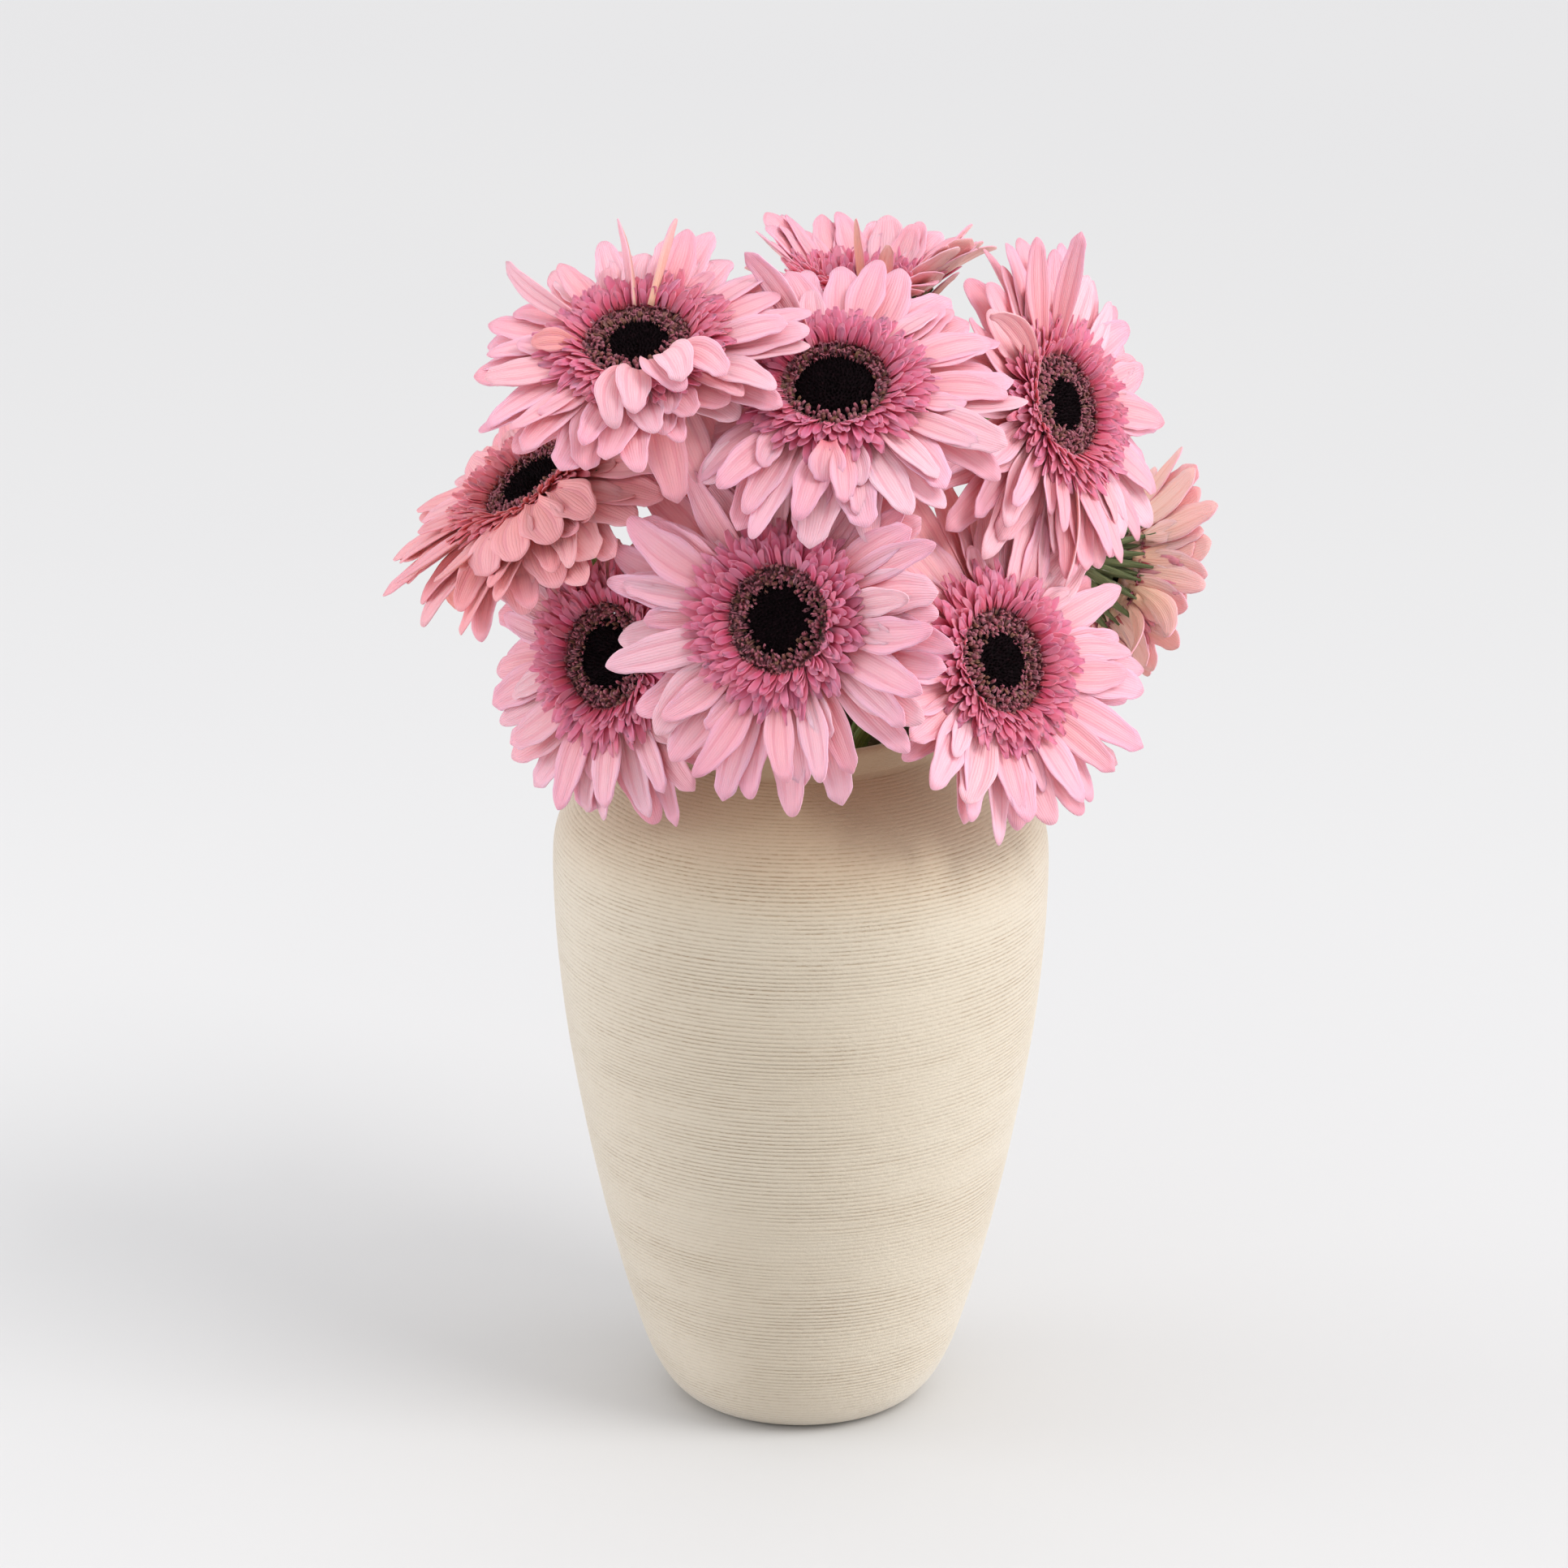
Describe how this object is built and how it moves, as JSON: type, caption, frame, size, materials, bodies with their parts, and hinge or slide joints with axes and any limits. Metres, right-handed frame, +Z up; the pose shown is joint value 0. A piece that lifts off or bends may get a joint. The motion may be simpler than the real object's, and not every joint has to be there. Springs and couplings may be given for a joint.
{
  "type": "vase of cut gerberas",
  "caption": "Bunch of pink semi-double gerberas with dark eyes, standing loose in a tall ribbed cream clay vase with a short collar.",
  "frame": {"origin": "centre of the vase's flat base, on the surface it stands on", "axes": "+Z up along the vase's axis, -Y towards the side that most of the lower flowers face, +X to the right seen from there"},
  "size_m": [0.2739, 0.2201, 0.4121],
  "materials": {
    "clay": "matte unglazed cream clay with fine turned rings",
    "petal": "soft satin pink petal, peach underneath",
    "inner_floret": "satin deep pink florets",
    "disc": "matte near-black tufted eye in a ring of maroon florets",
    "calyx": "hairy grey-green bracts",
    "stem": "hairy mid-green stem"
  },
  "bodies": {
    "root": {"vase": "clay", "top_left_petals": "petal", "top_left_inner_florets": "inner_floret", "top_left_disc": "disc", "top_left_calyx": "calyx", "top_left_stem": "stem", "top_middle_petals": "petal", "top_middle_inner_florets": "inner_floret", "top_middle_disc": "disc", "top_middle_calyx": "calyx", "top_middle_stem": "stem", "top_right_petals": "petal", "top_right_inner_florets": "inner_floret", "top_right_disc": "disc", "top_right_calyx": "calyx", "top_right_stem": "stem", "left_petals": "petal", "left_inner_florets": "inner_floret", "left_disc": "disc", "left_calyx": "calyx", "left_stem": "stem", "lower_left_petals": "petal", "lower_left_inner_florets": "inner_floret", "lower_left_disc": "disc", "lower_left_calyx": "calyx", "lower_left_stem": "stem", "front_petals": "petal", "front_inner_florets": "inner_floret", "front_disc": "disc", "front_calyx": "calyx", "front_stem": "stem", "lower_right_petals": "petal", "lower_right_inner_florets": "inner_floret", "lower_right_disc": "disc", "lower_right_calyx": "calyx", "lower_right_stem": "stem", "back_petals": "petal", "back_inner_florets": "inner_floret", "back_disc": "disc", "back_calyx": "calyx", "back_stem": "stem", "nodding_petals": "petal", "nodding_inner_florets": "inner_floret", "nodding_disc": "disc", "nodding_calyx": "calyx", "nodding_stem": "stem"}
  },
  "joints": []
}
